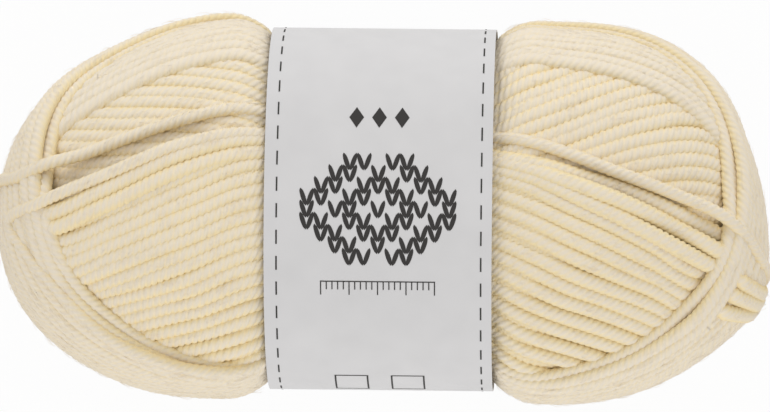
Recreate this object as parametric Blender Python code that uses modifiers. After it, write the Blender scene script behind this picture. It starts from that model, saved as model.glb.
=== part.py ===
"""A ball of knitting yarn with a paper band round its middle.

The ball lies on its broad side, its long way along X, with the front of the band facing up.
One strand is wound over a core in lays that cross each other: an upper lay, a front lay and a
closing lay that runs round the outline.
The paper band is one strip, lapped and glued at the back, and it can be slid off either end.
"""
import math

import bmesh
import bpy
import numpy as np
from mathutils import Vector, bvhtree, kdtree

MM = 0.001

# Ball, over the outermost turns
BALL_LENGTH = 140.0 * MM
BALL_WIDTH = 69.0 * MM
BALL_THICKNESS = 57.0 * MM
REST_HEIGHT = 26.0 * MM
REST_SINK = 4.0 * MM
END_STACK = 8.0 * MM
END_FULLNESS = 2.8
SECTION_FULLNESS = 2.1

# Yarn
YARN_DIAMETER = 2.4 * MM
TURN_GAP = 0.75 * MM
LAY_GAP = 0.7 * MM
CROSSING_GAP = 0.35 * MM
LIFT_STEP = 0.2 * MM
POINTS_PER_TURN = 24
RUN_SAMPLES = 12
CLIMB_SPREAD = 3
LAY_REACH = 0.95
CORE_RINGS = 24
CORE_SEGMENTS = 48

# Lays: how far the turn nearest the ball's middle lies from it, and how the turns tilt and lean
UPPER_LAY_START = 8.0 * MM
UPPER_LAY_TURNS = 4
UPPER_LAY_TILT = math.radians(15)
UPPER_LAY_LEAN = math.radians(3)
FRONT_LAY_START = -0.8 * MM
FRONT_LAY_TURNS = 7
FRONT_LAY_TILT = math.radians(-32)
FRONT_LAY_LEAN = math.radians(7)
CLOSING_LAY_START = -3.0 * MM
CLOSING_LAY_TURNS = 4
CLOSING_LAY_TILT = math.radians(79)
CLOSING_LAY_LEAN = math.radians(-4)

# Paper band
BAND_WIDTH = 40.0 * MM
BAND_HEIGHT = 65.0 * MM
BAND_DEPTH = 54.0 * MM
PAPER_THICKNESS = 0.25 * MM
BAND_CLEARANCE = 0.3 * MM
BAND_OVERLAP = 12.0 * MM
BAND_SEAM_ANGLE = math.radians(-36)
BAND_STEPS = 66
LAP_STEPS = 6
LAP_RAMP = 14.0 * MM
GLUE_THICKNESS = 0.15 * MM
GLUE_GAP = 0.1 * MM
GLUE_MARGIN = 3.0 * MM

# The waist that the band draws in, beyond each edge of the band
WAIST_MARGIN = 6.0 * MM
WAIST_RAMP = 13.0 * MM
SQUEEZE_STEP = 0.1 * MM

YARN_RADIUS = YARN_DIAMETER / 2
LAYER = YARN_DIAMETER + LAY_GAP
PITCH = YARN_DIAMETER + TURN_GAP
SIDE_LAYERS = 2
WAIST_LAYERS = 3
UNDER_LAYERS = 1

YARN_CREAM = (0.80, 0.68, 0.48, 1.0)
CORE_CREAM = (0.72, 0.59, 0.38, 1.0)
PAPER_GREY = (0.66, 0.64, 0.64, 1.0)
GLUE_AMBER = (0.72, 0.66, 0.50, 1.0)


def smoothstep(value):
    value = min(max(value, 0.0), 1.0)
    return value * value * (3 - 2 * value)


def make_material(name, colour, roughness):
    material = bpy.data.materials.new(name)
    material.use_nodes = True
    shader = material.node_tree.nodes["Principled BSDF"]
    shader.inputs["Base Color"].default_value = colour
    shader.inputs["Roughness"].default_value = roughness
    shader.inputs["Metallic"].default_value = 0.0
    return material


def add_object(name, data, material, collection):
    data.materials.append(material)
    piece = bpy.data.objects.new(name, data)
    collection.objects.link(piece)
    return piece


def band_inset():
    """Paper and clearance between the band's outer face and the yarn under it."""
    return PAPER_THICKNESS + BAND_CLEARANCE


def end_taper(x):
    """Share of the ball's full section that is left at a place along X."""
    along = min(abs(x) / (BALL_LENGTH / 2), 1.0)
    return (1 - along**END_FULLNESS) ** (1 / END_FULLNESS)


class Core:
    """The inside of the ball, whose waist is squeezed in to leave room for the lays under the band."""

    def __init__(self, squeeze):
        stack = SIDE_LAYERS * LAYER
        waist_stack = band_inset() + squeeze + WAIST_LAYERS * LAYER
        self.under_stack = band_inset() + squeeze + UNDER_LAYERS * LAYER
        self.waist_width = BAND_HEIGHT / 2 - waist_stack
        self.waist_rise = BAND_DEPTH - REST_HEIGHT - waist_stack
        self.depth = REST_HEIGHT + REST_SINK - band_inset() - squeeze - stack
        taper = end_taper(BAND_WIDTH / 2 + WAIST_MARGIN + WAIST_RAMP)
        self.full_width = BALL_WIDTH / 2 / taper - stack
        self.full_rise = (BALL_THICKNESS - REST_HEIGHT) / taper - stack

    def point(self, direction, lift):
        """Point in a direction from the ball's middle, lifted off the core's surface."""
        across, up, side = abs(direction[0]), abs(direction[2]), abs(direction[1])
        section = (side**SECTION_FULLNESS + up**SECTION_FULLNESS) ** (END_FULLNESS / SECTION_FULLNESS)
        reach = (across**END_FULLNESS + section) ** (-1 / END_FULLNESS)
        x = (BALL_LENGTH / 2 - END_STACK + lift) * reach * direction[0]
        shoulder = smoothstep((abs(x) - BAND_WIDTH / 2 - WAIST_MARGIN) / WAIST_RAMP)
        width = self.waist_width + (self.full_width - self.waist_width) * shoulder
        rise = self.waist_rise + (self.full_rise - self.waist_rise) * shoulder
        half_height = rise if direction[2] > 0 else self.depth
        y = (width + lift) * reach * direction[1]
        z = REST_HEIGHT + (half_height + lift) * reach * direction[2]
        return np.array((x, y, max(z, self.under_stack - lift)))

    def shape(self):
        shape = bmesh.new()
        bmesh.ops.create_uvsphere(shape, u_segments=CORE_SEGMENTS, v_segments=CORE_RINGS, radius=1.0)
        for vertex in shape.verts:
            pole, side, up = vertex.co.z, vertex.co.y, -vertex.co.x
            vertex.co = self.point(np.array((pole, side, up)), 0.0)
        shape.normal_update()
        return shape


class Lay:
    """Turns of yarn in parallel planes, each plane one pitch further from the ball's middle."""

    def __init__(self, core, start, turns, tilt, lean, outward):
        self.core = core
        self.normal = np.array(
            (math.sin(lean), math.cos(lean) * math.cos(tilt), math.cos(lean) * math.sin(tilt))
        )
        self.along = np.array(
            (math.cos(lean), -math.sin(lean) * math.cos(tilt), -math.sin(lean) * math.sin(tilt))
        )
        self.front = np.cross(self.along, self.normal)
        share_per_metre = math.hypot(
            self.normal[1] / (core.waist_width + LAYER), self.normal[2] / (core.waist_rise + LAYER)
        )
        room = (LAY_REACH / share_per_metre - abs(start)) / PITCH
        self.turns = min(turns, int(room))
        self.first = start * outward * share_per_metre
        self.last = self.first + self.turns * PITCH * outward * share_per_metre

    def direction(self, turn):
        """Unit direction from the ball's middle after so many turns, starting at the back."""
        offset = self.first + (self.last - self.first) * turn / self.turns
        angle = 2 * math.pi * turn - math.pi / 2
        spread = math.sqrt(1 - offset * offset)
        return offset * self.normal + spread * (math.cos(angle) * self.along + math.sin(angle) * self.front)

    def points(self, lifts):
        return np.array(
            [
                self.core.point(self.direction(index / POINTS_PER_TURN), lift)
                for index, lift in enumerate(lifts)
            ]
        )


def run_samples(points):
    """Places along the straight runs between points, in the order of the runs."""
    shares = np.arange(RUN_SAMPLES) / RUN_SAMPLES
    runs = points[:-1, None] + (points[1:] - points[:-1])[:, None] * shares[None, :, None]
    return runs.reshape(-1, 3)


def sample_tree(points):
    samples = run_samples(points)
    tree = kdtree.KDTree(len(samples))
    for index, place in enumerate(samples):
        tree.insert(place, index)
    tree.balance()
    return tree


def least_gap(points):
    """Least clear distance between one turn of a tube and another."""
    samples = run_samples(points)
    nearest = math.inf
    for index, place in enumerate(samples):
        other_turns = samples[index + POINTS_PER_TURN * RUN_SAMPLES // 2 :]
        distances = np.linalg.norm(other_turns - place, axis=1)
        nearest = min(nearest, np.min(distances, initial=math.inf))
    return nearest - YARN_DIAMETER


def tight_runs(points, core_skin, laid):
    """Runs between points that pass too close to the core or to an earlier lay."""
    tight = set()
    for index, place in enumerate(run_samples(points)):
        seat, outward, _, _ = core_skin.find_nearest(place)
        height = (Vector(place) - seat).dot(outward)
        crossing = min((tree.find(place)[2] for tree in laid), default=math.inf)
        if height < YARN_RADIUS + CROSSING_GAP or crossing < YARN_DIAMETER + CROSSING_GAP:
            tight.add(index // RUN_SAMPLES)
    return tight


def spread_climbs(lifts):
    """Start each climb earlier, so that the strand rises over what it crosses in a long hump."""
    for _ in range(CLIMB_SPREAD):
        before = np.append(lifts[:1], lifts[:-1])
        after = np.append(lifts[1:], lifts[-1:])
        lifts = np.maximum(lifts, (before + after) / 2)
    return lifts


def wind(lay, core_skin, laid, seat=0.0):
    """Points of a winding, raised bit by bit until it clears the core and what is laid already."""
    lifts = np.full(lay.turns * POINTS_PER_TURN + 1, seat + LAY_GAP + YARN_RADIUS)
    points = lay.points(lifts)
    tight = tight_runs(points, core_skin, laid)
    while tight:
        raised = sorted(tight | {run + 1 for run in tight})
        lifts[raised] += LIFT_STEP
        points = lay.points(spread_climbs(lifts))
        tight = tight_runs(points, core_skin, laid)
    laid.append(sample_tree(points))
    return points


def wind_lays(core, shape):
    """Points of the lays, in the order in which they are wound over the core."""
    core_skin = bvhtree.BVHTree.FromBMesh(shape)
    upper = Lay(core, UPPER_LAY_START, UPPER_LAY_TURNS, UPPER_LAY_TILT, UPPER_LAY_LEAN, 1)
    front = Lay(core, FRONT_LAY_START, FRONT_LAY_TURNS, FRONT_LAY_TILT, FRONT_LAY_LEAN, -1)
    closing = Lay(core, CLOSING_LAY_START, CLOSING_LAY_TURNS, CLOSING_LAY_TILT, CLOSING_LAY_LEAN, 1)
    laid = []
    return {
        "upper_lay": wind(upper, core_skin, laid),
        "front_lay": wind(front, core_skin, laid),
        "closing_lay": wind(closing, core_skin, laid, seat=LAYER),
    }


def band_half_sizes(above, inset):
    """Half width and half height of the band's section, so far inside its outer face."""
    half_height = BAND_DEPTH - REST_HEIGHT if above else REST_HEIGHT + REST_SINK
    return BAND_HEIGHT / 2 - inset, half_height - inset


def band_section(angle, inset):
    """Point of the band's section; angle 0 is +Y and 90 degrees is up."""
    side, up = math.cos(angle), math.sin(angle)
    half_width, half_height = band_half_sizes(up > 0, inset)
    power = 2 / SECTION_FULLNESS
    y = half_width * math.copysign(abs(side) ** power, side)
    z = REST_HEIGHT + half_height * math.copysign(abs(up) ** power, up)
    return y, max(z, inset)


def band_room(points):
    """Least clear distance between a winding and the inside of the band."""
    room = math.inf
    for x, y, z in run_samples(points):
        if abs(x) < BAND_WIDTH / 2 + YARN_DIAMETER:
            up = z - REST_HEIGHT
            half_width, half_height = band_half_sizes(up > 0, PAPER_THICKNESS)
            side_share = abs(y / half_width) ** SECTION_FULLNESS
            up_share = abs(up / half_height) ** SECTION_FULLNESS
            share = (side_share + up_share) ** (1 / SECTION_FULLNESS)
            room = min(room, math.hypot(y, up) * (1 / share - 1), z - PAPER_THICKNESS)
    return room - YARN_RADIUS


def make_winding(name, points, material, collection):
    curve = bpy.data.curves.new(name, "CURVE")
    curve.dimensions = "3D"
    curve.bevel_depth = YARN_RADIUS
    curve.bevel_resolution = 1
    curve.use_fill_caps = True
    spline = curve.splines.new("POLY")
    spline.points.add(len(points) - 1)
    for spline_point, point in zip(spline.points, points):
        spline_point.co = (*point, 1.0)
    print(f"{name}: least gap between turns {least_gap(points) / MM:.2f} mm")
    return add_object(name, curve, material, collection)


def make_core(shape, material, collection):
    mesh = bpy.data.meshes.new("core_winding")
    shape.to_mesh(mesh)
    mesh.shade_smooth()
    return add_object("core_winding", mesh, material, collection)


def make_strip(name, path, width, thickness, material, collection):
    """A strip of sheet whose inner face follows a path of (y, z) points round the ball."""
    shape = bmesh.new()
    rows = [[shape.verts.new((x, y, z)) for x in (-width / 2, width / 2)] for y, z in path]
    for (left, right), (next_left, next_right) in zip(rows, rows[1:]):
        shape.faces.new((left, next_left, next_right, right))
    mesh = bpy.data.meshes.new(name)
    shape.to_mesh(mesh)
    shape.free()
    strip = add_object(name, mesh, material, collection)
    sheet = strip.modifiers.new("sheet", "SOLIDIFY")
    sheet.thickness = thickness
    sheet.offset = 1.0
    sheet.use_even_offset = True
    return strip


def lap_angle(length):
    """Angle that a length along the band takes at the seam."""
    y, z = band_section(BAND_SEAM_ANGLE, 0.0)
    return length / math.hypot(y, z - REST_HEIGHT)


def make_band(paper, glue, collection):
    lap_lift = PAPER_THICKNESS + GLUE_GAP + GLUE_THICKNESS + GLUE_GAP
    lap_turn = lap_angle(BAND_OVERLAP)
    lap = np.linspace(0.0, lap_turn, LAP_STEPS + 1)
    round_ball = np.linspace(lap_turn, 2 * math.pi, BAND_STEPS + 1)
    path = []
    for turned in (*lap, *round_ball[1:-1], *(lap + 2 * math.pi)):
        lifted = smoothstep((turned - 2 * math.pi) / lap_angle(LAP_RAMP) + 1)
        path.append(band_section(BAND_SEAM_ANGLE + turned, PAPER_THICKNESS - lap_lift * lifted))
    make_strip("paper_band", path, BAND_WIDTH, PAPER_THICKNESS, paper, collection)
    glue_path = [band_section(BAND_SEAM_ANGLE + turned, -GLUE_GAP) for turned in lap[1:-1]]
    make_strip("glue_line", glue_path, BAND_WIDTH - 2 * GLUE_MARGIN, GLUE_THICKNESS, glue, collection)


def main():
    for item in list(bpy.data.objects):
        bpy.data.objects.remove(item)
    collection = bpy.data.collections.new("yarn_ball")
    bpy.context.scene.collection.children.link(collection)
    yarn = make_material("cream_yarn", YARN_CREAM, 0.9)
    inner_yarn = make_material("inner_yarn", CORE_CREAM, 0.95)
    paper = make_material("band_paper", PAPER_GREY, 0.6)
    glue = make_material("dry_glue", GLUE_AMBER, 0.4)

    squeeze = 0.0
    room = -math.inf
    while room < BAND_CLEARANCE:
        core = Core(squeeze)
        shape = core.shape()
        lays = wind_lays(core, shape)
        room = min(band_room(points) for points in lays.values())
        squeeze += max(BAND_CLEARANCE - room, 0.0) + SQUEEZE_STEP
    make_core(shape, inner_yarn, collection)
    for name, points in lays.items():
        make_winding(name, points, yarn, collection)
    make_band(paper, glue, collection)


main()
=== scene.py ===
import math

import bpy
import numpy as np
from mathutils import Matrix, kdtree


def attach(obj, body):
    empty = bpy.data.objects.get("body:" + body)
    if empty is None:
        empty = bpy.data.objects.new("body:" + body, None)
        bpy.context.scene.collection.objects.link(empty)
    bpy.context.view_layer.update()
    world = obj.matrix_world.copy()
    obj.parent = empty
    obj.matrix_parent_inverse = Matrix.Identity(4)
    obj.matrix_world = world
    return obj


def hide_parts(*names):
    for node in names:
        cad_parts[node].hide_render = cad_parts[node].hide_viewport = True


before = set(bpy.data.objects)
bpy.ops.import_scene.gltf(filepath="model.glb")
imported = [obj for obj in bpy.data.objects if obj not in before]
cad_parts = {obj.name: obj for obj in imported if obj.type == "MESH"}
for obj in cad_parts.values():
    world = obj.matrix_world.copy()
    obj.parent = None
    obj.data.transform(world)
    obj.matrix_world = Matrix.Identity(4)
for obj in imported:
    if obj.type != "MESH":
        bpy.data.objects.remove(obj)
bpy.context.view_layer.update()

# The inside of the ball: the earlier layers of one long strand of plied cream acrylic, wound tight by a
# balling machine. Only its outermost turns are drawn, side by side over a plain heart, and they show
# wherever the later lays leave a gap. Lengths are in millimetres, until a mesh is made of them.
MM = 0.001
YARN_DIAMETER = 2.55
YARN_RADIUS = YARN_DIAMETER / 2
HEART_HALF_LENGTH = 60.9
HEART_MIDDLE = 26.0
HEART_FLOOR = 3.4
HEART_DEPTH = 24.0
END_FULLNESS = 2.8
SECTION_FULLNESS = 2.1
WAIST_HALF_WIDTH = 26.0
WAIST_RISE = 21.2
WAIST_REACH = 16.0
WAIST_RAMP = 10.0
SHOULDER_HALF_WIDTH = 30.2
SHOULDER_RISE = 24.6
rng = np.random.default_rng(7)


def smooth_step(value):
    value = np.clip(value, 0.0, 1.0)
    return value * value * (3 - 2 * value)


def heart_sizes(x):
    """Half width and rise of the heart's section at a place along the ball."""
    shoulder = smooth_step((np.abs(x) - WAIST_REACH) / WAIST_RAMP)
    width = WAIST_HALF_WIDTH + (SHOULDER_HALF_WIDTH - WAIST_HALF_WIDTH) * shoulder
    rise = WAIST_RISE + (SHOULDER_RISE - WAIST_RISE) * shoulder
    return width, rise


def settle(units):
    """Push places onto the unit form of the ball, whose half sizes are all one."""
    section = np.abs(units[:, 1]) ** SECTION_FULLNESS + np.abs(units[:, 2]) ** SECTION_FULLNESS
    reach = np.abs(units[:, 0]) ** END_FULLNESS + section ** (END_FULLNESS / SECTION_FULLNESS)
    return units * (reach ** (-1 / END_FULLNESS))[:, None]


def seats_of(units):
    """Where places on the unit form lie on the heart, and which way is out there."""
    units = settle(units)
    x = HEART_HALF_LENGTH * units[:, 0]
    width, rise = heart_sizes(x)
    height = np.where(units[:, 2] > 0, rise, HEART_DEPTH)
    z = np.maximum(HEART_MIDDLE + height * units[:, 2], HEART_FLOOR)
    seats = np.stack((x, width * units[:, 1], z), axis=1)
    steepness = np.abs(units) ** (SECTION_FULLNESS - 1) * np.sign(units)
    outward = steepness / np.stack((np.full_like(x, HEART_HALF_LENGTH), width, height), axis=1)
    outward[z <= HEART_FLOOR] = (0.0, 0.0, -1.0)
    return seats, outward / np.linalg.norm(outward, axis=1)[:, None]


# How the band squeezes the ball, and how it slumps and swells: place along it, width and change.
BAND_HALF_WIDTH = 20.0
BAND_HALF_HEIGHT = 32.5
BAND_RISE = 28.0
BAND_DEPTH = 30.0
PAPER_THICKNESS = 0.25
LOOSE_RADIUS = 1.6
PRESS_KNEE = 0.86
PRESS_BULGE = 4.5
PRESS_REACH = 2.0
PRESS_SPREAD = 0.4
FLOOR_KNEE = 5.0
FLOOR_LEVEL = 1.4
SLUMPS = ((-50.0, 12.0, 0.8), (28.0, 10.0, 0.4), (77.0, 9.5, 11.0))
SWELLS = ((-54.0, 14.0, -0.05), (28.0, 9.0, -0.015), (49.0, 12.0, 0.02), (72.0, 8.0, -0.05))


def press(centres):
    """Let the ball slump a little out of true, squeezed by the band and flat where it lies."""
    x, y, z = centres.T
    for place, width, change in SWELLS:
        y = y * (1 + change * np.exp(-((x - place) / width) ** 2))
    for place, width, drop in SLUMPS:
        y = y - drop * np.exp(-((x - place) / width) ** 2)
    beyond = np.maximum(np.abs(x) - BAND_HALF_WIDTH, 0.0)
    inset = PAPER_THICKNESS + LOOSE_RADIUS
    bulge = PRESS_BULGE * (1 - np.exp(-beyond / PRESS_REACH))
    across = y / (BAND_HALF_HEIGHT - inset + bulge + PRESS_SPREAD * beyond)
    height = np.where(z > HEART_MIDDLE, BAND_RISE, BAND_DEPTH) - inset
    up = (z - HEART_MIDDLE) / (height + PRESS_SPREAD * beyond)
    reach = (np.abs(across) ** SECTION_FULLNESS + np.abs(up) ** SECTION_FULLNESS) ** (1 / SECTION_FULLNESS)
    room = 1 - PRESS_KNEE
    pressed = np.where(reach > PRESS_KNEE, 1 - room * np.exp((PRESS_KNEE - reach) / room), reach)
    shrink = pressed / np.maximum(reach, 1e-6)
    z = HEART_MIDDLE + (z - HEART_MIDDLE) * shrink
    depth = FLOOR_KNEE - FLOOR_LEVEL
    z = np.where(z < FLOOR_KNEE, FLOOR_LEVEL + depth * np.exp(np.minimum(z - FLOOR_KNEE, 0.0) / depth), z)
    return np.stack((x, y * shrink, z), axis=1)


def along_curve(points, step):
    """Places at even steps along a smooth curve through the points."""
    points = np.asarray(points, float)
    before = np.vstack((2 * points[:1] - points[1:2], points[:-1]))[:-1]
    after = np.vstack((points[1:], 2 * points[-1:] - points[-2:-1]))[1:]
    first, second = points[:-1], points[1:]
    runs = np.linalg.norm(second - first, axis=1)
    fine = max(int(np.ceil(np.max(runs) / step)) * 4, 4)
    share = (np.arange(fine) / fine)[None, :, None]
    first, second, before, after = (part[:, None] for part in (first, second, before, after))
    curve = 0.5 * (
        2 * first
        + (second - before) * share
        + (2 * before - 5 * first + 4 * second - after) * share**2
        + (3 * first - before - 3 * second + after) * share**3
    )
    curve = np.vstack((curve.reshape(-1, points.shape[1]), points[-1:]))
    lengths = np.concatenate(([0.0], np.cumsum(np.linalg.norm(np.diff(curve[:, :3], axis=0), axis=1))))
    places = np.linspace(0.0, lengths[-1], max(int(lengths[-1] / step), 2) + 1)
    return np.stack([np.interp(places, lengths, column) for column in curve.T], axis=1)


def drift(count, period, size):
    """A slow random wander of that size, along so many places, with a period in places."""
    knots = rng.normal(0.0, size, int(count / period) + 4)
    return np.interp(np.arange(count) / period, np.arange(len(knots)), knots)


def spread_out(values, reach):
    """Running mean of the values, weighted like a bell that wide."""
    places = np.arange(-int(3 * reach), int(3 * reach) + 1)
    weights = np.exp(-0.5 * (places / reach) ** 2)
    padded = np.pad(values, len(places) // 2, mode="edge")
    return np.convolve(padded, weights / weights.sum(), mode="valid")


def lookup(seats):
    tree = kdtree.KDTree(len(seats))
    for index, seat in enumerate(seats):
        tree.insert(seat, index)
    tree.balance()
    return tree


def bed_in(seats, lifts, reach):
    """Strands side by side even out how high they lie, as soft yarn does under the turns above."""
    tree = lookup(np.vstack(seats))
    joined = np.concatenate(lifts)
    evened = []
    for group in seats:
        near = [[index for _, index, _ in tree.find_range(seat, reach)] for seat in group]
        evened.append(np.array([joined[places].mean() for places in near]))
    return evened


ROUTE_STEP = 1.3
WANDER = 0.2
SIDE_PERIOD = 14
LIFT_PERIOD = 9
CROSSING_SQUASH = 0.78
BRIDGE = 2
STIFFNESS = 2.4
PILE_KNEE = 5.5
PILE_LIMIT = 10.0


class Winding:
    """What is wound so far: where each strand passes on the heart, and how high above it."""

    def __init__(self):
        self.seats = np.zeros((0, 3))
        self.lifts = np.zeros(0)

    def lay(self, unit_routes, wander=WANDER, squash=CROSSING_SQUASH, bedding=0.0):
        """Lay strands along routes on the unit form, over what is there; returns their centre lines."""
        tree = lookup(self.seats)
        new_seats, new_lifts, ways_out = [], [], []
        for units in unit_routes:
            rough, _ = seats_of(np.asarray(units))
            fine = along_curve(np.hstack((rough, units)), ROUTE_STEP)
            seats, outward = seats_of(fine[:, 3:])
            ahead = np.gradient(seats, axis=0)
            ahead /= np.linalg.norm(ahead, axis=1)[:, None]
            sideways = np.cross(outward, ahead)
            seats = seats + sideways * drift(len(seats), SIDE_PERIOD, wander)[:, None]
            lifts = np.full(len(seats), YARN_RADIUS)
            for index, seat in enumerate(seats):
                for _, other, gap in tree.find_range(seat, YARN_DIAMETER):
                    over = squash * math.sqrt(YARN_DIAMETER**2 - gap**2)
                    lifts[index] = max(lifts[index], self.lifts[other] + over)
            shifted = [np.roll(lifts, shift) for shift in range(-BRIDGE, BRIDGE + 1)]
            bridged = spread_out(np.max(shifted, axis=0), STIFFNESS)
            lifts = bridged + drift(len(seats), LIFT_PERIOD, wander / 3)
            room = PILE_LIMIT - PILE_KNEE
            packed = PILE_LIMIT - room * np.exp(np.minimum(PILE_KNEE - lifts, 0.0) / room)
            new_seats.append(seats)
            new_lifts.append(np.where(lifts > PILE_KNEE, packed, lifts))
            ways_out.append(outward)
        if bedding:
            new_lifts = bed_in(new_seats, new_lifts, bedding)
        self.seats = np.vstack((self.seats, *new_seats))
        self.lifts = np.concatenate((self.lifts, *new_lifts))
        return [
            (press(seats + outward * lifts[:, None]), outward)
            for seats, lifts, outward in zip(new_seats, new_lifts, ways_out)
        ]


PLIES = 4
POINTS_PER_PLY = 4
PLY_LEAD = 5.2
PLY_GROOVE = 0.16
# The next two set painted shade: how far the ply grooves, and the sides of a strand that lies among others,
# go over to the yarn's warmer shaded colour.
GROOVE_SHADE = 0.9
SUNK_SHADE = 1.0
FLATTENING = 0.68
RING_STEP = 0.43
END_TAPER = 5.0
END_SHARE = 0.3


def strand_rings(strand, radius, flattening, sunk_shade, groove, ring_step, points_per_ply):
    """Rings of corners along a strand of four plies, and how far each corner looks out of the ball; the yarn
    material paints shade where that is low, on the sides of a strand that lies among others and in the ply
    grooves.
    """
    centres, outward = strand
    fine = along_curve(np.hstack((centres, outward)), ring_step)
    centres, outward = fine[:, :3], fine[:, 3:]
    ahead = np.gradient(centres, axis=0)
    ahead /= np.linalg.norm(ahead, axis=1)[:, None]
    side = np.cross(ahead, outward)
    side /= np.linalg.norm(side, axis=1)[:, None]
    out = np.cross(side, ahead)
    sides = PLIES * points_per_ply
    around = np.arange(sides) * 2 * math.pi / sides
    between = (0.5 + 0.5 * np.cos(PLIES * around)) ** 2
    places = ring_step * np.arange(len(centres))
    fullness = END_SHARE + (1 - END_SHARE) * smooth_step(np.minimum(places, places[::-1]) / END_TAPER)
    profile = radius * (1 - groove * between)[None, :] * fullness[:, None]
    centres = centres - out * (radius * flattening * (1 - fullness))[:, None]
    turned = 2 * math.pi * np.arange(len(centres)) * ring_step / PLY_LEAD
    angle = turned[:, None] + around[None, :]
    height = flattening * np.cos(angle)
    ring = height[..., None] * out[:, None] - np.sin(angle)[..., None] * side[:, None]
    # Painted shade: the outlook falls off round the sides of the strand and in the ply grooves.
    outlook = 1 - sunk_shade * (1 - np.cos(angle)) - GROOVE_SHADE * groove * between
    return centres[:, None] + ring * profile[..., None], outlook


FUZZ_PER_LENGTH = 1.6
FUZZ_LENGTH = 3.2
FUZZ_HEIGHT = 0.4
FUZZ_LEAN = 0.45
FUZZ_RADIUS = 0.03
FUZZ_OUTLOOK = 0.75
FUZZ_TAPER = (1.0, 1.0, 0.8, 0.3)
fuzz = []


def fuzz_hairs(rings, outlook, ring_step):
    """Fine fibres that stand off the outward side of a strand in low arches, as thin rods."""
    count = int(len(rings) * ring_step * FUZZ_PER_LENGTH)
    reach = int(FUZZ_LENGTH / ring_step)
    if len(rings) < 2 * reach or not count:
        return np.zeros((0, 4, 3, 3))
    row = rng.integers(0, len(rings) - reach, count)
    column = rng.integers(0, rings.shape[1], count)
    keep = outlook[row, column] > FUZZ_OUTLOOK
    row, column = row[keep], column[keep]
    root = rings[row, column]
    out = root - rings[row].mean(axis=1)
    out /= np.linalg.norm(out, axis=1)[:, None]
    along = rings[row + reach].mean(axis=1) - rings[row].mean(axis=1)
    side = np.cross(out, along / np.linalg.norm(along, axis=1)[:, None])
    height = FUZZ_HEIGHT * rng.uniform(0.3, 1.0, len(row))[:, None] * out
    lean = rng.normal(0.0, FUZZ_LEAN, len(row))[:, None] * side
    run = rng.uniform(0.5, 1.0, len(row))[:, None] * along
    places = (root, root + 0.3 * run + 0.8 * height + 0.3 * lean, root + 0.7 * run + height + 0.8 * lean,
              root + run + 0.4 * height + lean)
    middle = np.stack(places, axis=1)
    first = FUZZ_RADIUS * out[:, None]
    second = FUZZ_RADIUS * side[:, None]
    thin = np.array(FUZZ_TAPER)[None, :, None]
    turns = (0.0, 2 * math.pi / 3, 4 * math.pi / 3)
    rods = [middle + thin * (math.cos(turn) * first + math.sin(turn) * second) for turn in turns]
    return np.stack(rods, axis=2)


BAKE_ASPECT = 5
BAKE_MARGIN = 0.04


def strand_mesh(name, runs, ring_step):
    """One mesh of runs of rings, with a map along and round the strand and a packed one for baking."""
    outlook = np.concatenate([outlook.ravel() for _, outlook in runs])
    runs = [corners for corners, _ in runs]
    sides = runs[0].shape[1]
    column = np.arange(sides)
    follow = (column + 1) % sides
    quads, caps, along = [], [], []
    start = 0
    for run in runs:
        row = start + np.arange(len(run) - 1)[:, None] * sides
        ring_quads = (row + column, row + follow, row + sides + follow, row + sides + column)
        quads.append(np.stack(ring_quads, axis=-1))
        caps.append(start + column[::-1])
        caps.append(start + (len(run) - 1) * sides + column)
        along.append(np.arange(len(run) - 1))
        start += len(run) * sides
    corners = np.vstack([run.reshape(-1, 3) for run in runs]) * MM
    quads = np.vstack([part.reshape(-1, 4) for part in quads])
    caps = np.vstack(caps)
    mesh = bpy.data.meshes.new(name)
    mesh.vertices.add(len(corners))
    mesh.vertices.foreach_set("co", corners.ravel())
    mesh.loops.add(quads.size + caps.size)
    mesh.loops.foreach_set("vertex_index", np.concatenate((quads.ravel(), caps.ravel())))
    mesh.polygons.add(len(quads) + len(caps))
    quad_starts = np.arange(len(quads)) * 4
    cap_starts = quads.size + np.arange(len(caps)) * sides
    mesh.polygons.foreach_set("loop_start", np.concatenate((quad_starts, cap_starts)))
    steps = np.concatenate(along)
    ring_of = np.repeat(steps, sides)[:, None] + np.array((0, 0, 1, 1))
    side_of = np.tile(column, len(steps))[:, None] + np.array((0, 1, 1, 0))
    cap_uv = np.zeros((caps.size, 2))
    strand_uv = np.stack((ring_of * ring_step, side_of / sides), axis=-1).reshape(-1, 2)
    mesh.uv_layers.new(name="Strand").data.foreach_set("uv", np.vstack((strand_uv, cap_uv)).ravel())
    rows = max(int(math.sqrt(len(steps) / BAKE_ASPECT)), 1)
    per_row = math.ceil(len(steps) / rows)
    order = np.repeat(np.arange(len(steps)), sides)[:, None] + np.array((0, 0, 0, 0))
    bake_u = (order % per_row + np.array((0, 0, 1, 1))) / per_row
    bake_v = (order // per_row + BAKE_MARGIN + (1 - 2 * BAKE_MARGIN) * side_of / sides) / rows
    bake_uv = np.stack((bake_u, bake_v), axis=-1).reshape(-1, 2)
    mesh.uv_layers.new(name="OFBake").data.foreach_set("uv", np.vstack((bake_uv, cap_uv)).ravel())
    # How far each corner looks out of the ball, kept for the painted shade of the yarn material.
    mesh.attributes.new("ShadeOutlook", "FLOAT", "POINT").data.foreach_set("value", outlook)
    mesh.update(calc_edges=True)
    mesh.shade_smooth()
    return mesh


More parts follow.
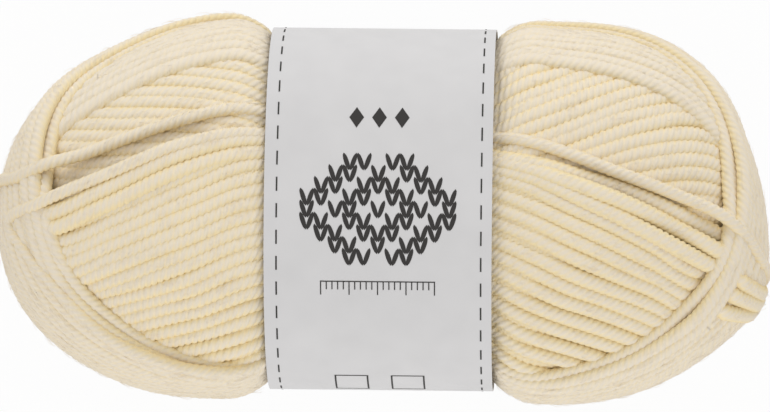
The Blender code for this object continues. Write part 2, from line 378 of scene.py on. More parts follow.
def mottle_group():
    """Fine streaks and soft blotches, each a value between 0 and 1 that changes over the surface."""
    group = bpy.data.node_groups.new("fine_mottle", "ShaderNodeTree")
    sockets = group.interface
    sockets.new_socket("Vector", in_out="INPUT", socket_type="NodeSocketVector")
    sockets.new_socket("Streak Scale", in_out="INPUT", socket_type="NodeSocketFloat")
    sockets.new_socket("Blotch Scale", in_out="INPUT", socket_type="NodeSocketFloat")
    sockets.new_socket("Streaks", in_out="OUTPUT", socket_type="NodeSocketFloat")
    sockets.new_socket("Blotches", in_out="OUTPUT", socket_type="NodeSocketFloat")
    nodes, links = group.nodes, group.links
    entry = nodes.new("NodeGroupInput")
    leave = nodes.new("NodeGroupOutput")
    for name, detail in (("Streak", 4.0), ("Blotch", 1.5)):
        noise = nodes.new("ShaderNodeTexNoise")
        noise.inputs["Detail"].default_value = detail
        noise.inputs["Roughness"].default_value = 0.6
        links.new(entry.outputs["Vector"], noise.inputs["Vector"])
        links.new(entry.outputs[f"{name} Scale"], noise.inputs["Scale"])
        links.new(noise.outputs["Fac"], leave.inputs["Streaks" if name == "Streak" else "Blotches"])
    return group


fine_mottle = mottle_group()


# Painted light and shade on the yarn: each corner's colour goes from a paler lit colour on the crests over to
# a warmer, more saturated shaded colour on the flanks and in the clefts between strands, as it looks less far
# out of the ball.
CREST_SHARE = 2.6
CREST_BIAS = -2.1
FIBRE_SHARE = 1.0
FIBRE_STRETCH = (0.35, 14.0, 1.0)
FIBRE_STREAKS = 2.2
FIBRE_BLOTCHES = 0.25
FIBRE_RELIEF = 0.1
# The outer yarn's lit and painted-shade colours, and a warmer copy of both that paints the deep inner layers
# as shaded.
OUTER_LIT_CREST, OUTER_SHADED_FLANK = (0.93, 0.84, 0.71), (0.985, 0.83, 0.52)
INNER_SHADED_CREST, INNER_SHADED_FLANK = (0.97, 0.84, 0.6), (0.975, 0.8, 0.48)


def yarn_material(name, crest, flank):
    """Plied acrylic with painted shade: warmer and more saturated in the clefts between strands and in the
    ply grooves, paler on the lit crests, with fine streaks of fibre along the plies.
    """
    material = bpy.data.materials.new(name)
    material.use_nodes = True
    nodes, links = material.node_tree.nodes, material.node_tree.links
    shader = nodes["Principled BSDF"]
    shader.inputs["Roughness"].default_value = 0.95
    shader.inputs["Specular IOR Level"].default_value = 0.1
    uv = nodes.new("ShaderNodeUVMap")
    uv.uv_map = "Strand"
    stretch = nodes.new("ShaderNodeMapping")
    stretch.inputs["Scale"].default_value = FIBRE_STRETCH
    links.new(uv.outputs["UV"], stretch.inputs["Vector"])
    mottle = nodes.new("ShaderNodeGroup")
    mottle.node_tree = fine_mottle
    mottle.inputs["Streak Scale"].default_value = FIBRE_STREAKS
    mottle.inputs["Blotch Scale"].default_value = FIBRE_BLOTCHES
    links.new(stretch.outputs["Vector"], mottle.inputs["Vector"])
    # Painted shade: the mix goes to the shaded colour where a corner looks little out of the ball and to the
    # lit colour where it looks out, with the fibre streaks mixed in.
    outlook = nodes.new("ShaderNodeAttribute")
    outlook.attribute_name = "ShadeOutlook"
    shade_ramp = nodes.new("ShaderNodeMath")
    shade_ramp.operation = "MULTIPLY_ADD"
    shade_ramp.inputs[1].default_value = CREST_SHARE
    shade_ramp.inputs[2].default_value = CREST_BIAS
    links.new(outlook.outputs["Fac"], shade_ramp.inputs[0])
    lit_share_and_fibre = nodes.new("ShaderNodeMath")
    lit_share_and_fibre.operation = "MULTIPLY_ADD"
    lit_share_and_fibre.inputs[1].default_value = FIBRE_SHARE
    lit_share_and_fibre.use_clamp = True
    links.new(mottle.outputs["Streaks"], lit_share_and_fibre.inputs[0])
    links.new(shade_ramp.outputs["Value"], lit_share_and_fibre.inputs[2])
    tint = nodes.new("ShaderNodeMix")
    tint.data_type = "RGBA"
    tint.inputs["A"].default_value = (*flank, 1.0)
    tint.inputs["B"].default_value = (*crest, 1.0)
    links.new(lit_share_and_fibre.outputs["Value"], tint.inputs["Factor"])
    links.new(tint.outputs["Result"], shader.inputs["Base Color"])
    bump = nodes.new("ShaderNodeBump")
    bump.inputs["Strength"].default_value = 0.3
    bump.inputs["Distance"].default_value = FIBRE_RELIEF * MM
    links.new(mottle.outputs["Streaks"], bump.inputs["Height"])
    links.new(bump.outputs["Normal"], shader.inputs["Normal"])
    return material


# The inner layers' yarn is the same cream, painted warmer as shade because they lie deep.
yarns = {
    "cream_yarn": yarn_material("cream_yarn", OUTER_LIT_CREST, OUTER_SHADED_FLANK),
    "inner_yarn": yarn_material("inner_yarn", INNER_SHADED_CREST, INNER_SHADED_FLANK),
}
FACES_PER_PIECE = 190000


def make_yarn(name, strands, node, slot="cream_yarn", radius=LOOSE_RADIUS, flattening=FLATTENING, sunk_shade=SUNK_SHADE,
              groove=PLY_GROOVE, ring_step=RING_STEP, points_per_ply=POINTS_PER_PLY):
    """The strands as pieces that stand for a node of the ball, none of them too long to keep whole."""
    longest = FACES_PER_PIECE // (2 * PLIES * points_per_ply)
    pieces, filled = [[]], 0
    for strand in strands:
        rings, outlook = strand_rings(strand, radius, flattening, sunk_shade, groove, ring_step, points_per_ply)
        fuzz.append(fuzz_hairs(rings, outlook, ring_step))
        for first in range(0, len(rings) - 1, longest):
            run = slice(first, first + longest + 1)
            count = len(rings[run])
            if filled + count > longest and pieces[-1]:
                pieces.append([])
                filled = 0
            pieces[-1].append((rings[run], outlook[run]))
            filled += count
    for number, runs in enumerate(pieces, 1):
        mesh = strand_mesh(f"{name}_{number}", runs, ring_step)
        mesh.materials.append(yarns[slot])
        piece = bpy.data.objects.new(mesh.name, mesh)
        bpy.context.scene.collection.objects.link(piece)
        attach(piece, "ball")
        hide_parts(node)


def turns_round(turns, lowest, highest, tilt=0.0, dome=0.0, skew=0.0):
    """Turns round the outline of the unit form as one route, from a lowest to a highest angle above its
    middle: tilted up towards -Y, and raised at the ends, most at -X."""
    angles = np.linspace(-math.pi / 2, (2 * turns - 0.5) * math.pi, 48 * turns + 1)
    levels = np.sin(np.radians(np.linspace(lowest, highest, len(angles))))
    levels = levels + dome * np.cos(angles) ** 2 - skew * np.cos(angles)
    spread = np.sqrt(1 - levels**2)
    flat = np.stack((spread * np.cos(angles), spread * np.sin(angles), levels), axis=1)
    lean = np.array(((1, 0, 0), (0, math.cos(tilt), -math.sin(tilt)), (0, math.sin(tilt), math.cos(tilt))))
    return settle(flat @ lean)


INNER_TURNS = 40
INNER_LOWEST = -80
INNER_HIGHEST = 84
HIDDEN_DETAIL = {"ring_step": 0.6, "points_per_ply": 3}
HEART_RINGS = 48
HEART_LIFT = 0.2
winding = Winding()
inner_strands = winding.lay([turns_round(INNER_TURNS, INNER_LOWEST, INNER_HIGHEST)])
make_yarn("inner_turns", inner_strands, "core_winding", "inner_yarn", **HIDDEN_DETAIL)
fuzz.clear()

heart_corners = []
for ring in range(HEART_RINGS + 1):
    pole = math.pi * ring / HEART_RINGS
    for step in range(HEART_RINGS):
        turn = 2 * math.pi * step / HEART_RINGS
        girth = math.sin(pole)
        heart_corners.append((math.cos(pole), girth * math.cos(turn), girth * math.sin(turn)))
heart_seats, heart_out = seats_of(np.array(heart_corners) + 1e-9)
heart_seats = heart_seats + HEART_LIFT * heart_out
heart_faces = [
    (
        ring * HEART_RINGS + step,
        ring * HEART_RINGS + (step + 1) % HEART_RINGS,
        (ring + 1) * HEART_RINGS + (step + 1) % HEART_RINGS,
        (ring + 1) * HEART_RINGS + step,
    )
    for ring in range(HEART_RINGS)
    for step in range(HEART_RINGS)
]
heart_mesh = bpy.data.meshes.new("heart")
heart_mesh.from_pydata((heart_seats * MM).tolist(), [], heart_faces)
heart_mesh.uv_layers.new(name="Strand")
heart_mesh.shade_smooth()
# The heart has no outlook per corner, so the yarn material paints it in the shaded colour all over.
heart_mesh.materials.append(yarns["inner_yarn"])
heart = bpy.data.objects.new("heart", heart_mesh)
bpy.context.scene.collection.objects.link(heart)
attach(heart, "ball")
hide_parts("core_winding")

# The upper lay: the next turns of the same acrylic strand, which fan up over the upper half of the front.
# The machine winds them along the ball: out from under the band, up towards both ends, round to the back.
UPPER_TURNS = 20
UPPER_FIRST = -15.0
UPPER_PITCH = 2.5
UPPER_EASING = 0.02
UPPER_LIFT = 3.4
UPPER_HIGHEST = 31.0
UPPER_CLIMB = ((-57, 7.6), (-46, 7.4), (-34, 6.0), (-22, 3.2), (-8, 0.6), (8, 0.9), (22, 4.6), (34, 9.1),
               (46, 12.4), (57, 13.2))
UPPER_BACK = (-2.0, 1.6, 0.05)
UPPER_END = (-0.1, 0.048)
UPPER_STRAND = {"radius": 1.72, "flattening": 0.64, "sunk_shade": 0.75}
STATIONS = tuple(x for x, _ in UPPER_CLIMB)
SEARCH_ROUNDS = 8
SEARCH_STEP = 0.7


def unit_place(x, y, face):
    """Place on the unit form above x, y (face 1), below it (face -1) or at the rim beside it (face 0)."""
    unit_x = np.clip(x / HEART_HALF_LENGTH, -0.995, 0.995)
    unit_y = y / heart_sizes(unit_x * HEART_HALF_LENGTH)[0]
    section = (1 - abs(unit_x) ** END_FULLNESS) ** (SECTION_FULLNESS / END_FULLNESS)
    unit_z = max(section - abs(unit_y) ** SECTION_FULLNESS, 0.0) ** (1 / SECTION_FULLNESS)
    return settle(np.array(((unit_x, unit_y, face * unit_z),)))[0]


def unit_seen(x, y, face, lift):
    """Place on the unit form of a strand that is seen at x, y when it lies that high above the heart."""
    guess = np.array((x, y))
    for _ in range(SEARCH_ROUNDS):
        unit = unit_place(*guess, face)
        seats, outward = seats_of(unit[None])
        guess = guess + SEARCH_STEP * ((x, y) - (seats + lift * outward)[0, :2])
    return unit


def wind_loops(turns, lift, front, back, end, offset=0.0):
    """Turns along the ball as one route: over the front, round the right end, back below and round.

    On the back they start at a height, with a pitch and a spread towards the ends; at the ends they
    start at a share of the half width, with a pitch.
    """
    units = []
    stations = [(x, 1) for x in STATIONS] + [(x, -1) for x in reversed(STATIONS)]
    for turn in range(turns):
        for number, (x, face) in enumerate(stations):
            now = turn + offset + number / len(stations)
            height = front(now, x) if face > 0 else back[0] + back[1] * now + back[2] * abs(x)
            units.append(unit_seen(x, height, face, lift))
            if abs(x) == STATIONS[-1] and (x > 0) == (face > 0):
                units.append(np.array((math.copysign(1.0, x), end[0] + end[1] * now, 0.0)))
    return settle(np.array(units))


def upper_front(turn, x):
    height = UPPER_FIRST + (UPPER_PITCH - UPPER_EASING * turn) * turn
    return min(height + dict(UPPER_CLIMB)[x], UPPER_HIGHEST)


def make_fuzz(name, node):
    """All the fibres gathered so far as one piece of the ball."""
    hairs = np.vstack(fuzz)
    fuzz.clear()
    start = 12 * np.arange(len(hairs))[:, None]
    quads = [
        (3 * ring + turn, 3 * ring + (turn + 1) % 3, 3 * ring + 3 + (turn + 1) % 3, 3 * ring + 3 + turn)
        for ring in range(3)
        for turn in range(3)
    ]
    sides = (start[:, :, None] + np.array(quads)[None]).reshape(-1, 4)
    ends = (start[:, :, None] + np.array(((2, 1, 0), (9, 10, 11)))[None]).reshape(-1, 3)
    mesh = bpy.data.meshes.new(name)
    mesh.from_pydata((hairs.reshape(-1, 3) * MM).tolist(), [], sides.tolist() + ends.tolist())
    mesh.uv_layers.new(name="Strand")
    # The hairs look fully out, so they take mostly the lit colour, with no painted shade.
    mesh.attributes.new("ShadeOutlook", "FLOAT", "POINT").data.foreach_set("value", np.ones(len(mesh.vertices)))
    mesh.shade_smooth()
    mesh.materials.append(yarns["cream_yarn"])
    piece = bpy.data.objects.new(name, mesh)
    bpy.context.scene.collection.objects.link(piece)
    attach(piece, "ball")
    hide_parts(node)


upper_turns = (UPPER_TURNS, UPPER_LIFT, upper_front, UPPER_BACK, UPPER_END)
upper_strands = winding.lay([wind_loops(*upper_turns)])
make_yarn("upper_lay_yarn", upper_strands, "upper_lay", **UPPER_STRAND)
make_fuzz("upper_lay_fuzz", "upper_lay")

# The front lay: turns of the same strand that slant down over the front towards both ends, two deep.
# A few single strands fill the place between the first of them and the last turns, and the ends dip under
# the closing lay. FRONT_LEFT and FRONT_RIGHT are the first height, the pitch, the slope and its easing.
FRONT_TURNS = 17
FRONT_LIFT = 4.6
FRONT_SQUASH = 0.5
FRONT_WANDER = 0.1
FRONT_LEFT = (10.2, 2.34, 0.42, 0.2)
FRONT_RIGHT = (5.8, 2.95, 0.45, 0.3)
FRONT_LOWEST = -29.0
FRONT_EDGE = 22.0
FRONT_HUMP = 2.4
FRONT_BACK = (-4.0, -1.5, -0.05)
FRONT_END = (-0.06, -0.046)
UNDER_OFFSET = -0.9
FRONT_OFFSET = -0.3


def front_front(turn, x):
    share = turn / FRONT_TURNS
    heights = []
    for first, pitch, slope, easing in (FRONT_LEFT, FRONT_RIGHT):
        run = max(abs(x) - FRONT_EDGE, 0.0)
        heights.append(max(first - pitch * turn, FRONT_LOWEST) - (slope - easing * share) * run)
    blend = float(smooth_step((x + FRONT_EDGE) / (2 * FRONT_EDGE)))
    hump = FRONT_HUMP * (1 - share) * max(1 - (x / FRONT_EDGE) ** 2, 0.0)
    return heights[0] * (1 - blend) + heights[1] * blend + hump


front_turns = (FRONT_TURNS, FRONT_LIFT, front_front, FRONT_BACK, FRONT_END)
under_strands = winding.lay([wind_loops(*front_turns, offset=UNDER_OFFSET)])
make_yarn("front_under_yarn", under_strands, "front_lay", "inner_yarn", **HIDDEN_DETAIL)
fuzz.clear()
front_strands = winding.lay([wind_loops(*front_turns, offset=FRONT_OFFSET)], FRONT_WANDER, FRONT_SQUASH)
FRONT_FIRST_LEFT = ((6, 10.6, 1), (-8, 12.2, 1), (-20, 12.5, 1), (-35, 8.9, 1), (-49, 3.1, 1), (-58, -1.2, 1),
                    (-66, -4, 0), (-56, -8, -1), (0, -6, -1))
FRONT_FILLS = (
    ((8, 12.6, 1), (22, 9.9, 1), (40, 4.6, 1), (58, -3.2, 1), (65, -6.8, 0), (56, -9, -1)),
    ((8, 9.6, 1), (22, 7.3, 1), (38, 0.6, 1), (56, -8.2, 1), (65, -11, 0), (56, -12, -1)),
    ((-8, 9.8, 1), (-20, 10.2, 1), (-35, 6.5, 1), (-49, 0.7, 1), (-58, -3.6, 1), (-66, -6, 0),
     (-56, -10, -1)),
)
FRONT_FIRST_RIGHT = ((-6, 12.6, 1), (8, 11.6, 1), (20, 9.2, 1), (38.6, 2.6, 1), (57, -5.6, 1), (65, -9, 0),
                     (56, -10, -1), (0, -8, -1))


def route(points, lift):
    """A route over the unit form through places that are seen at x, y on a face of the ball."""
    return np.array([unit_seen(x, y, face, lift) for x, y, face in points])


front_strands += winding.lay([route(points, FRONT_LIFT) for points in FRONT_FILLS], squash=FRONT_SQUASH)
front_strands += winding.lay([route(FRONT_FIRST_LEFT, FRONT_LIFT)], squash=FRONT_SQUASH)
front_strands += winding.lay([route(FRONT_FIRST_RIGHT, FRONT_LIFT)], squash=FRONT_SQUASH)
make_yarn("front_lay_yarn", front_strands, "front_lay")
make_fuzz("front_lay_fuzz", "front_lay")

# The shoulder turns: a few turns of the same strand round the outline, flattened by their tension, which
# ride up over the upper edge of the front. They hide the tops of the upper lay and pass low along the
# lower edge, under the closing lay.
SHOULDER_TURNS = 11
SHOULDER_LOWEST = -28
SHOULDER_HIGHEST = 16
SHOULDER_TILT = math.radians(-19)
SHOULDER_SQUASH = 0.3
SHOULDER_BEDDING = 4.0
SHOULDER_STRAND = {"radius": 1.85, "flattening": 0.6, "sunk_shade": 0.32, "groove": 0.11}
shoulder_route = turns_round(SHOULDER_TURNS, SHOULDER_LOWEST, SHOULDER_HIGHEST, SHOULDER_TILT)
shoulder_strands = winding.lay([shoulder_route], squash=SHOULDER_SQUASH, bedding=SHOULDER_BEDDING)
make_yarn("shoulder_yarn", shoulder_strands, "closing_lay", **SHOULDER_STRAND)

# The closing lay: turns of the same strand wound round the outline, to hold the ends of the others down.
# They make the smooth rim along the lower edge, on a few turns that bear its inner edge. At the right end
# some of the front lay comes out over them, and two top turns lie over that again.
CLOSING_TURNS = 17
CLOSING_LOWEST = -53
CLOSING_HIGHEST = 4
TOP_TURNS = 2
TOP_LOWEST = 2.5
TOP_HIGHEST = 7
INNER_EDGE_TURNS = 4
INNER_EDGE_LOWEST = 1.5
INNER_EDGE_HIGHEST = 9
INNER_EDGE_SQUASH = 0.3
INNER_EDGE_BEDDING = 3.0
CLOSING_SQUASH = 0.4
CLOSING_BEDDING = 7.0
CLOSING_TILT = math.radians(19)
CLOSING_DOME = 0.35
CLOSING_SKEW = 0.02
CLOSING_STRAND = {"radius": 1.65, "flattening": 0.65, "sunk_shade": 0.45, "groove": 0.13}
FAN_LIFT = 6.0
END_FAN = ((60.0, -9.5, -9.5), (58.5, -12.0, -11.5), (57.0, -15.0, -13.5))


def closing_route(turns, lowest, highest):
    return turns_round(turns, lowest, highest, CLOSING_TILT, CLOSING_DOME, CLOSING_SKEW)


inner_edge = closing_route(INNER_EDGE_TURNS, INNER_EDGE_LOWEST, INNER_EDGE_HIGHEST)
closing_strands = winding.lay([inner_edge], squash=INNER_EDGE_SQUASH, bedding=INNER_EDGE_BEDDING)
closing_turns = closing_route(CLOSING_TURNS, CLOSING_LOWEST, CLOSING_HIGHEST)
closing_strands += winding.lay([closing_turns], squash=CLOSING_SQUASH, bedding=CLOSING_BEDDING)
fan_routes = [
    route(((x, inner, 1), (x + 3, inner - 1, 1), (66.5, outer, 0.8), (69, outer, 0), (66, outer, -0.7),
           (52, outer, -1)), FAN_LIFT)
    for x, inner, outer in END_FAN
]
make_yarn("end_fan_yarn", winding.lay(fan_routes), "front_lay")
top_turns = closing_route(TOP_TURNS, TOP_LOWEST, TOP_HIGHEST)
closing_strands += winding.lay([top_turns], squash=CLOSING_SQUASH)
make_yarn("closing_lay_yarn", closing_strands, "closing_lay", **CLOSING_STRAND)
make_fuzz("closing_lay_fuzz", "closing_lay")

# The last two turns on the front, of the same strand but rounder, because they lie loose over the rest.
# The upper one runs from end to end; the lower one turns back sharply at the left and runs along the rim.
LAST_LIFT = 7.0
LAST_SQUASH = 0.75
# Lying loose, they get less painted shade on their sides.
LAST_STRAND = {"radius": 1.2, "flattening": 0.95, "sunk_shade": 0.35}
UPPER_LAST = ((0, 18, -1), (-40, 10, -1), (-60, 4, -1), (-65, 3, -0.7), (-67, 2.6, -0.2), (-66.5, 4.5, 0.6),
              (-64, 5.4, 0.9),
              (-57, 9.2, 1), (-49.4, 12.7, 1), (-35.2, 16.7, 1), (-21, 18.7, 1), (0, 17.6, 1), (20, 14.5, 1),
              (42, 6.8, 1), (60.7, -0.8, 1), (66, -4.5, 0.8), (68, -5.5, 0.2),
              (66, -8, -0.6), (60, -12, -1), (0, -16, -1))
LOWER_LAST = ((0, -31, 1), (-28, -30, 1), (-47, -23.5, 1), (-57, -14.5, 1), (-62.5, -8, 1), (-64.9, -4.6, 1),
              (-65.3, -2.6, 1), (-64.2, -1.2, 1), (-60.5, 0.5, 1), (-49.2, 6.2, 1), (-35, 11.5, 1),
              (-19.9, 14.3, 1), (-6, 12.6, 1), (6, 11.8, 1))
last_strands = winding.lay([route(UPPER_LAST, LAST_LIFT)], squash=LAST_SQUASH)
last_strands += winding.lay([route(LOWER_LAST, LAST_LIFT)], squash=LAST_SQUASH)
make_yarn("last_turns_yarn", last_strands, "front_lay", **LAST_STRAND)
make_fuzz("last_turns_fuzz", "front_lay")

# The paper band: one strip of smooth grey-white paper, wrapped round the waist and lapped at the back,
# where it is glued. It sits a little askew, and is pressed flat below, where the ball lies on it.
BAND_SEAM = math.radians(-36)
BAND_LAP = math.radians(23)
BAND_LAP_RAMP = math.radians(27)
BAND_LAP_LIFT = 0.6
BAND_LEAN = 0.0375
BAND_STEPS = 220
BAND_COLUMNS = 16
PAPER_GREY = (0.71, 0.70, 0.70)
PAPER_TOOTH = 1600.0
PAPER_CLOUDS = 160.0
PAPER_UNEVENNESS = 0.05
PAPER_RELIEF = 0.03
PAPER_ROUGHNESS = 0.6
CREASE_ANGLE = math.radians(40)


def band_points(angles, x, inset):
    """Points of the band at x, so far inside its outer face; angle 0 is +Y and a quarter turn is up."""
    side, up = np.cos(angles), np.sin(angles)
    power = 2 / SECTION_FULLNESS
    height = np.where(up > 0, BAND_RISE, BAND_DEPTH) - inset
    y = (BAND_HALF_HEIGHT - inset) * np.sign(side) * np.abs(side) ** power
    z = np.maximum(HEART_MIDDLE + height * np.sign(up) * np.abs(up) ** power, inset)
    return np.stack((x - BAND_LEAN * (z - HEART_MIDDLE), y, z), axis=-1)


def make_piece(name, corners, faces, material, body, node):
    """A mesh from corners in millimetres, riding on a body in place of a node."""
    mesh = bpy.data.meshes.new(name)
    mesh.from_pydata((np.asarray(corners) * MM).tolist(), [], faces)
    mesh.shade_smooth()
    mesh.set_sharp_from_angle(angle=CREASE_ANGLE)
    mesh.materials.append(material)
    piece = bpy.data.objects.new(name, mesh)
    bpy.context.scene.collection.objects.link(piece)
    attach(piece, body)
    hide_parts(node)
    return piece


def paper_material(name, colour, roughness):
    """Paper, and what lies flat on it: faintly clouded, with the fine tooth of its fibres."""
    material = bpy.data.materials.new(name)
    material.use_nodes = True
    nodes, links = material.node_tree.nodes, material.node_tree.links
    shader = nodes["Principled BSDF"]
    shader.inputs["Roughness"].default_value = roughness
    shader.inputs["Specular IOR Level"].default_value = 0.25
    place = nodes.new("ShaderNodeTexCoord")
    mottle = nodes.new("ShaderNodeGroup")
    mottle.node_tree = fine_mottle
    mottle.inputs["Streak Scale"].default_value = PAPER_TOOTH
    mottle.inputs["Blotch Scale"].default_value = PAPER_CLOUDS
    links.new(place.outputs["Object"], mottle.inputs["Vector"])
    tint = nodes.new("ShaderNodeMix")
    tint.data_type = "RGBA"
    tint.inputs["A"].default_value = (*((1 - PAPER_UNEVENNESS) * part for part in colour), 1.0)
    tint.inputs["B"].default_value = (*((1 + PAPER_UNEVENNESS) * part for part in colour), 1.0)
    links.new(mottle.outputs["Blotches"], tint.inputs["Factor"])
    links.new(tint.outputs["Result"], shader.inputs["Base Color"])
    bump = nodes.new("ShaderNodeBump")
    bump.inputs["Strength"].default_value = 0.25
    bump.inputs["Distance"].default_value = PAPER_RELIEF * MM
    links.new(mottle.outputs["Streaks"], bump.inputs["Height"])
    links.new(bump.outputs["Normal"], shader.inputs["Normal"])
    return material


band_turn = np.linspace(0.0, 2 * math.pi + BAND_LAP, BAND_STEPS)
lap_lift = BAND_LAP_LIFT * smooth_step((band_turn - 2 * math.pi) / BAND_LAP_RAMP + 1)
band_rows = []
for inset in (0.0, PAPER_THICKNESS):
    for share in np.linspace(-1.0, 1.0, BAND_COLUMNS):
        band_rows.append(band_points(BAND_SEAM + band_turn, BAND_HALF_WIDTH * share, inset - lap_lift))
rim = list(range(BAND_COLUMNS)) + list(range(2 * BAND_COLUMNS - 1, BAND_COLUMNS - 1, -1))
band_faces = [
    (
        row * BAND_STEPS + step,
        row * BAND_STEPS + step + 1,
        after * BAND_STEPS + step + 1,
        after * BAND_STEPS + step,
    )
    for row, after in zip(rim, rim[1:] + rim[:1])
    for step in range(BAND_STEPS - 1)
]
band_faces.append(tuple(row * BAND_STEPS for row in rim))
band_faces.append(tuple(row * BAND_STEPS + BAND_STEPS - 1 for row in rim[::-1]))
band_paper = paper_material("band_paper", PAPER_GREY, PAPER_ROUGHNESS)
band_corners = np.vstack(band_rows)
make_piece("paper_band_strip", band_corners, band_faces, band_paper, "band", "paper_band")

# The print on the band's front: dark grey ink, flat on the paper. Dashed lines run along both edges; a
# diamond of knitted stitches, three lozenges, a row of ticks and two boxes stand between them. Places are
# across the band, and down it from the middle of its front.
INK_GREY = (0.045, 0.042, 0.04)
INK_LIFT = 0.04
DASH_LINES = (-17.8, 18.1)
DASH_WIDTH = 0.28
DASH_LENGTH = 2.5
DASH_PERIOD = 4.65
DASH_REACH = 66.0
STITCH_WIDTH = 2.5
STITCH_HEIGHT = 2.1
STITCH_RANKS = 4
STITCH_THICKNESS = 0.85
STITCH_GAP = 3
LOZENGES = (-4.0, 0.0, 4.0)
LOZENGE_HALF_WIDTH = 1.3
LOZENGE_DOWNS = (-18.6, -16.6, -14.6)
TICKS = 21
TICK_HALF_WIDTH = 0.1
TICK_TOP = 13.0
TICK_LONG = 15.4
TICK_SHORT = 14.4
RULE_THICKNESS = 0.2
BOXES = (-8.0, 2.0)
BOX_WIDTH = 6.0
BOX_TOP, BOX_BOTTOM = 35.0, 43.0
BOX_LINE = 0.3
INK_ROUGHNESS = 0.7
PRINT_STEP = 1.2
front_angles = np.linspace(math.radians(-35), math.radians(215), 600)
front_edge = band_points(front_angles, 0.0, 0.0)
front_lengths = np.concatenate(([0.0], np.cumsum(np.linalg.norm(np.diff(front_edge, axis=0), axis=1))))
front_lengths -= np.interp(math.pi / 2, front_angles, front_lengths)
ink_corners, ink_faces = [], []


def print_strip(lefts, rights, downs):
    """A printed shape from its left and right edges, at lengths down the band from its front's middle."""
    angles = np.interp(downs, front_lengths, front_angles)
    start = len(ink_corners)
    for left, right, angle in zip(lefts, rights, angles):
        ink_corners.extend((band_points(angle, left, -INK_LIFT), band_points(angle, right, -INK_LIFT)))
    for step in range(len(angles) - 1):
        first = start + 2 * step
        ink_faces.append((first, first + 2, first + 3, first + 1))


def print_bar(left, right, top, bottom):
    downs = np.linspace(top, bottom, max(int((bottom - top) / PRINT_STEP), 1) + 1)
    print_strip(np.full_like(downs, left), np.full_like(downs, right), downs)


def print_leaf(x, down, length, width, lean):
    shares = np.linspace(-1.0, 1.0, 9)
    middles = x + lean * shares
    halves = width / 2 * np.sqrt(1 - shares**2) + 0.01
    print_strip(middles - halves, middles + halves, down + length / 2 * shares)


def print_box(left, right, top, bottom, line):
    print_bar(left, right, top, top + line)
    print_bar(left, right, bottom - line, bottom)
    print_bar(left, left + line, top + line, bottom - line)
    print_bar(right - line, right, top + line, bottom - line)


for x in DASH_LINES:
    for down in np.arange(-DASH_REACH, DASH_REACH, DASH_PERIOD):
        print_bar(x - DASH_WIDTH / 2, x + DASH_WIDTH / 2, down, down + DASH_LENGTH)
for rank in range(-STITCH_RANKS, STITCH_RANKS + 1):
    for wale in range(-STITCH_RANKS - 1, STITCH_RANKS + 2):
        ring = abs(rank) + abs(wale)
        if ring % STITCH_GAP != 1 and ring <= STITCH_RANKS + 2:
            for lean in (-1, 1):
                middle = wale * STITCH_WIDTH - lean * STITCH_WIDTH / 4
                slant = lean * STITCH_WIDTH / 5
                print_leaf(middle, rank * STITCH_HEIGHT, 1.5 * STITCH_HEIGHT, STITCH_THICKNESS, slant)
for x in LOZENGES:
    print_strip((x, x - LOZENGE_HALF_WIDTH, x), (x, x + LOZENGE_HALF_WIDTH, x), LOZENGE_DOWNS)
rule_end = (TICKS - 1) / 2
for tick in range(TICKS):
    x = tick - rule_end
    print_bar(x - TICK_HALF_WIDTH, x + TICK_HALF_WIDTH, TICK_TOP, TICK_SHORT if tick % 5 else TICK_LONG)
print_bar(-rule_end - TICK_HALF_WIDTH, rule_end + TICK_HALF_WIDTH, TICK_TOP - RULE_THICKNESS, TICK_TOP)
for left in BOXES:
    print_box(left, left + BOX_WIDTH, BOX_TOP, BOX_BOTTOM, BOX_LINE)
band_ink = paper_material("band_ink", INK_GREY, INK_ROUGHNESS)
make_piece("band_print", ink_corners, ink_faces, band_ink, "band", "paper_band")

# The glue in the lap of the band: a thin film that has dried between the two ends of the strip.
# It is seen only as a faint line at the back, so its solid is kept and only its finish is made here.
GLUE_AMBER = (0.72, 0.66, 0.5)
GLUE_ROUGHNESS = 0.45
glue_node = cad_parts["glue_line"]
glue_node.data.materials.clear()
glue_node.data.materials.append(paper_material("dry_glue", GLUE_AMBER, GLUE_ROUGHNESS))

# The stage: a plain white floor that keeps the ball's shadow, soft light from both long sides and all
# round, and the camera straight above the ball. Lengths are in metres here, but for the camera's.
FLOOR_REACH = 3.0
FLOOR_GREY = 0.85
FLOOR_WHITENESS = 0.95
WORLD_STRENGTH = 0.71
floor_mesh = bpy.data.meshes.new("floor")
floor_corners = [(x * FLOOR_REACH, y * FLOOR_REACH, 0.0) for x, y in ((-1, -1), (1, -1), (1, 1), (-1, 1))]
floor_mesh.from_pydata(floor_corners, [], [(0, 1, 2, 3)])
floor = bpy.data.objects.new("floor", floor_mesh)
bpy.context.scene.collection.objects.link(floor)
white = bpy.data.materials.new("white_floor")
white.use_nodes = True
white_nodes, white_links = white.node_tree.nodes, white.node_tree.links
matt = white_nodes["Principled BSDF"]
matt.inputs["Base Color"].default_value = (FLOOR_GREY, FLOOR_GREY, FLOOR_GREY, 1.0)
matt.inputs["Roughness"].default_value = 1.0
glow = white_nodes.new("ShaderNodeEmission")
light_path = white_nodes.new("ShaderNodeLightPath")
shown = white_nodes.new("ShaderNodeMath")
shown.operation = "MAXIMUM"
mirrored = white_nodes.new("ShaderNodeMath")
mirrored.operation = "MAXIMUM"
seen = white_nodes.new("ShaderNodeMath")
seen.operation = "MULTIPLY"
seen.inputs[1].default_value = FLOOR_WHITENESS
blend = white_nodes.new("ShaderNodeMixShader")
white_links.new(light_path.outputs["Is Camera Ray"], shown.inputs[0])
white_links.new(light_path.outputs["Is Glossy Ray"], shown.inputs[1])
white_links.new(shown.outputs["Value"], mirrored.inputs[0])
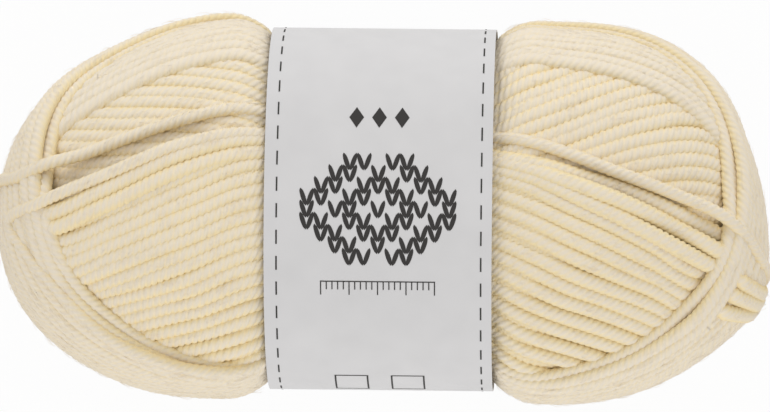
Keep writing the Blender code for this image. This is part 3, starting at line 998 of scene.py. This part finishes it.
white_links.new(light_path.outputs["Is Transmission Ray"], mirrored.inputs[1])
white_links.new(mirrored.outputs["Value"], seen.inputs[0])
white_links.new(seen.outputs["Value"], blend.inputs["Fac"])
white_links.new(matt.outputs["BSDF"], blend.inputs[1])
white_links.new(glow.outputs["Emission"], blend.inputs[2])
white_links.new(blend.outputs["Shader"], white_nodes["Material Output"].inputs["Surface"])
floor_mesh.materials.append(white)

world = bpy.data.worlds.new("studio")
world.use_nodes = True
sky = world.node_tree.nodes["Background"]
sky.inputs["Color"].default_value = (1.0, 1.0, 1.0, 1.0)
sky.inputs["Strength"].default_value = WORLD_STRENGTH
bpy.context.scene.world = world

LIGHTS = (("key_light", 0.9, 70, 3.5), ("fill_light", -0.9, -75, 2.7))
LIGHT_LENGTH, LIGHT_WIDTH = 1.6, 0.5
LIGHT_HEIGHT = 0.45
for name, y, tilt, power in LIGHTS:
    light_data = bpy.data.lights.new(name, "AREA")
    light_data.shape = "RECTANGLE"
    light_data.size = LIGHT_LENGTH
    light_data.size_y = LIGHT_WIDTH
    light_data.energy = power
    light = bpy.data.objects.new(name, light_data)
    light.location = (0.0, y, LIGHT_HEIGHT)
    light.rotation_euler = (math.radians(-tilt), 0.0, 0.0)
    bpy.context.scene.collection.objects.link(light)

PHOTO_WIDTH = 770
PIXEL = 0.1798
CAMERA_DISTANCE = 1100.0
SENSOR = 36.0
CAMERA_X, CAMERA_Y = 0.2, 0.6
CAMERA_ROLL = math.radians(0.6)
camera_data = bpy.data.cameras.new("camera")
camera_data.sensor_width = SENSOR
camera_data.lens = SENSOR * CAMERA_DISTANCE / (PHOTO_WIDTH * PIXEL)
camera_data.clip_start = 0.05
camera = bpy.data.objects.new("camera", camera_data)
camera.location = (CAMERA_X * MM, CAMERA_Y * MM, (HEART_MIDDLE + CAMERA_DISTANCE) * MM)
camera.rotation_euler = (0.0, 0.0, CAMERA_ROLL)
bpy.context.scene.collection.objects.link(camera)
bpy.context.scene.camera = camera
bpy.context.scene.view_settings.view_transform = "Standard"
